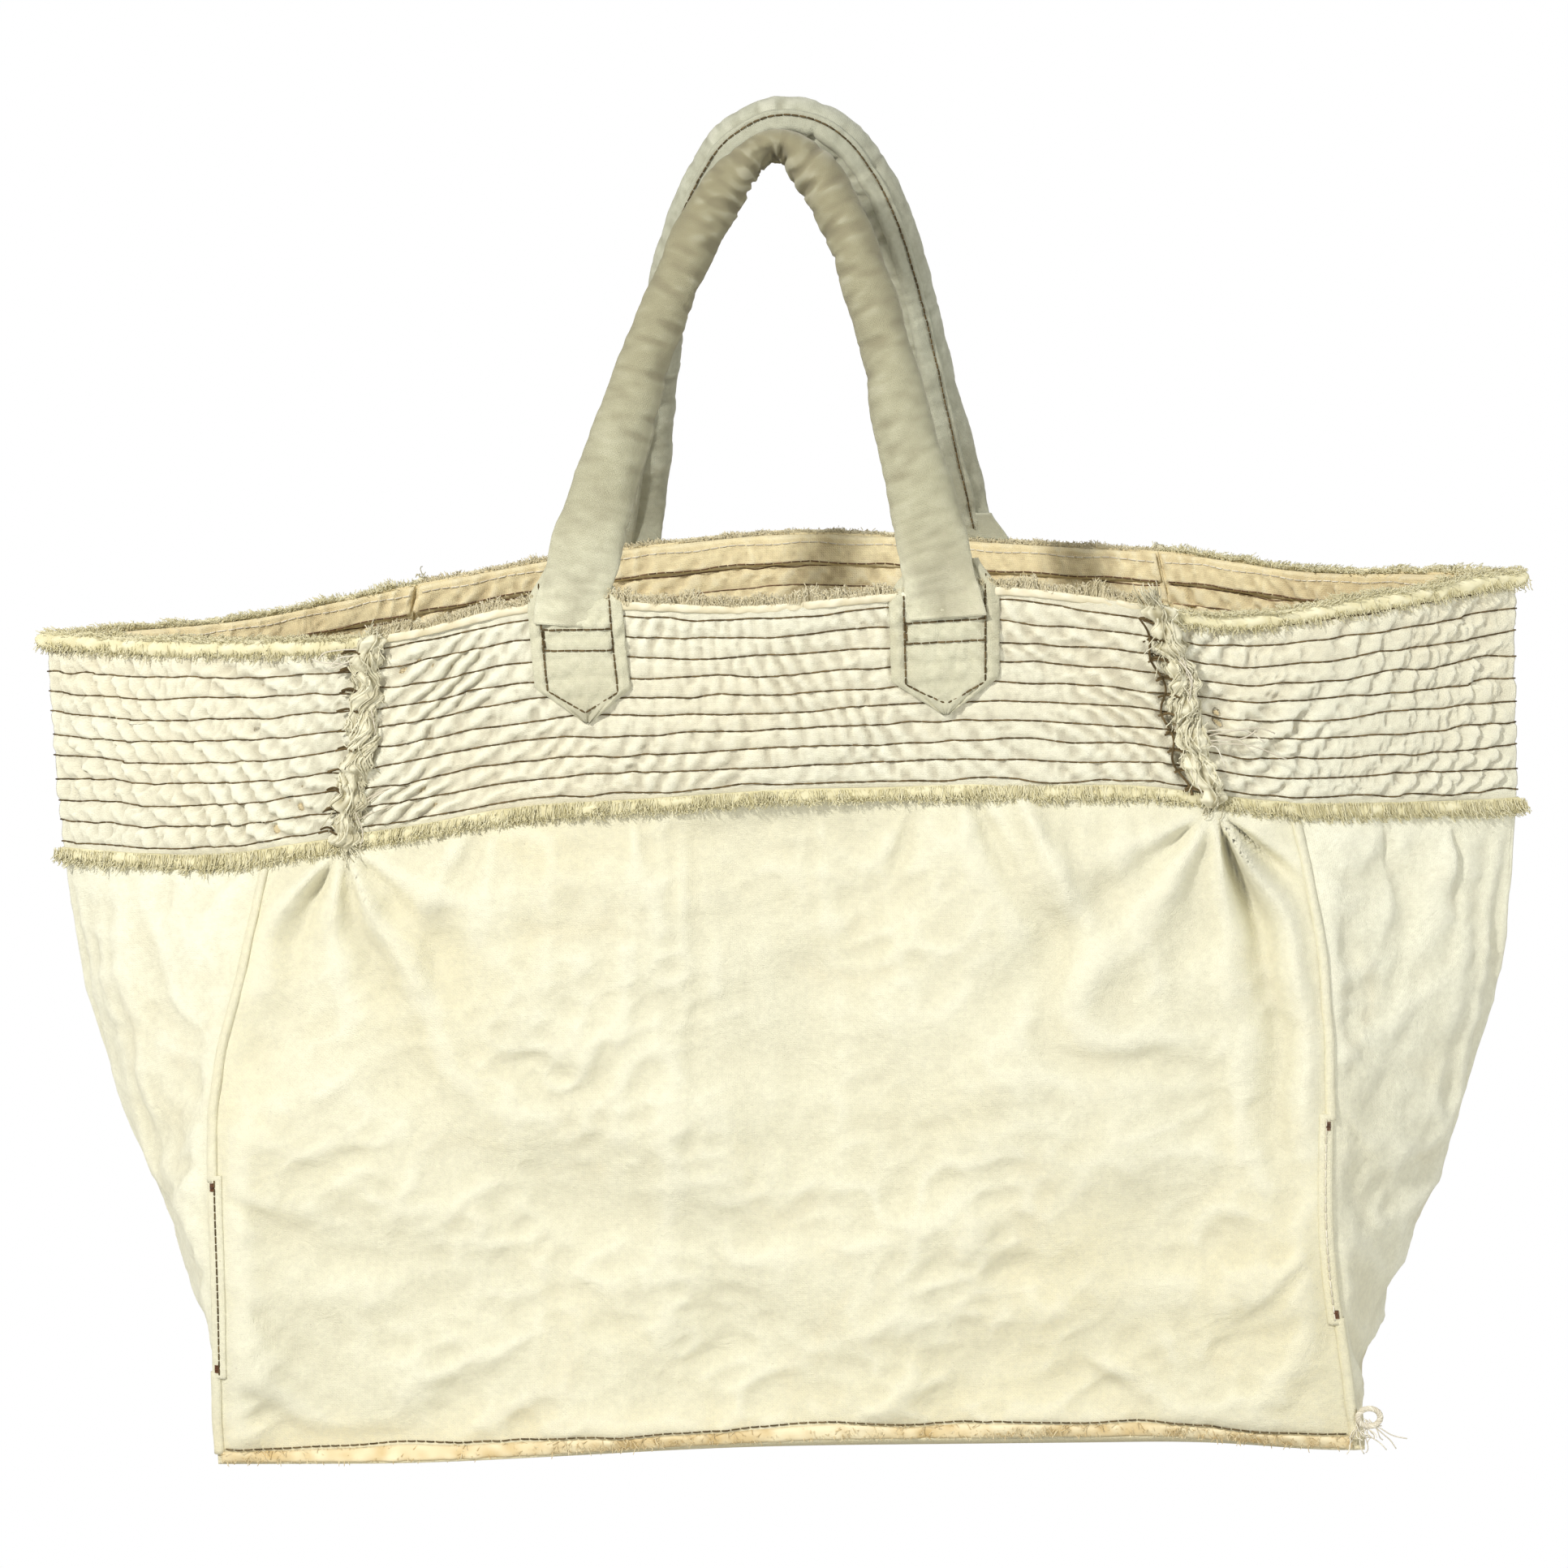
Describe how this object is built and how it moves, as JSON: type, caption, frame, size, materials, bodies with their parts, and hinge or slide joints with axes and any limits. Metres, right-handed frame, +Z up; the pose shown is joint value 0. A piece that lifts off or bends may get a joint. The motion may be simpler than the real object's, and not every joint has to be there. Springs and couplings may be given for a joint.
{
  "type": "tote bag",
  "caption": "Large soft canvas tote bag with a quilted top band, frayed raw edges, side wings, side pockets and a padded rope handle on each face.",
  "frame": {"origin": "centre of the base, on the surface the bag stands on", "axes": "+Z up, +X to the right of somebody looking at the front, the front face towards -Y"},
  "size_m": [0.644, 0.175, 0.5618],
  "materials": {
    "body_canvas": "heavy plain-weave cotton canvas, cream, rumpled and lightly stained",
    "quilted_canvas": "quilted canvas with rows of dark brown stitching",
    "raw_edge": "frayed raw canvas edge, yellowed",
    "handle_canvas": "khaki cream canvas, padded and creased",
    "inner_canvas": "unbleached canvas, matt",
    "rope_core": "soft cotton rope filler",
    "thread": "twisted cotton thread ends"
  },
  "bodies": {
    "bag": {"back_band": "quilted_canvas", "back_band_lining": "inner_canvas", "back_base_fringe": "raw_edge", "back_hem_fringe": "raw_edge", "back_left_gathered_seam": "raw_edge", "back_left_side_seam": "body_canvas", "back_left_tab": "handle_canvas", "back_left_tab_patch": "inner_canvas", "back_panel": "body_canvas", "back_right_gathered_seam": "raw_edge", "back_right_side_seam": "body_canvas", "back_right_tab": "handle_canvas", "back_right_tab_patch": "inner_canvas", "back_rim_fringe": "raw_edge", "back_top_facing": "inner_canvas", "base_panel": "body_canvas", "corner_knot": "thread", "front_band": "quilted_canvas", "front_band_lining": "inner_canvas", "front_base_fringe": "raw_edge", "front_hem_fringe": "raw_edge", "front_left_gathered_seam": "raw_edge", "front_left_side_seam": "body_canvas", "front_left_tab": "handle_canvas", "front_left_tab_patch": "inner_canvas", "front_panel": "body_canvas", "front_right_gathered_seam": "raw_edge", "front_right_side_seam": "body_canvas", "front_right_tab": "handle_canvas", "front_right_tab_patch": "inner_canvas", "front_rim_fringe": "raw_edge", "front_top_facing": "inner_canvas", "left_band": "quilted_canvas", "left_band_lining": "inner_canvas", "left_gusset": "body_canvas", "left_hem_fringe": "raw_edge", "left_pocket_bag": "inner_canvas", "left_rim_fringe": "raw_edge", "left_top_facing": "inner_canvas", "right_band": "quilted_canvas", "right_band_lining": "inner_canvas", "right_gusset": "body_canvas", "right_hem_fringe": "raw_edge", "right_pocket_bag": "inner_canvas", "right_rim_fringe": "raw_edge", "right_top_facing": "inner_canvas"},
    "front_handle": {"front_handle_core": "rope_core", "front_handle_cover": "handle_canvas"},
    "back_handle": {"back_handle_core": "rope_core", "back_handle_cover": "handle_canvas"}
  },
  "joints": [
    {"name": "front_handle_swing", "type": "hinge", "parent": "bag", "child": "front_handle", "pos_m": [0, -0.077, 0.36], "axis": [1, 0, 0], "range_deg": [0, 180]},
    {"name": "back_handle_swing", "type": "hinge", "parent": "bag", "child": "back_handle", "pos_m": [0, 0.077, 0.36], "axis": [-1, 0, 0], "range_deg": [0, 180]}
  ]
}
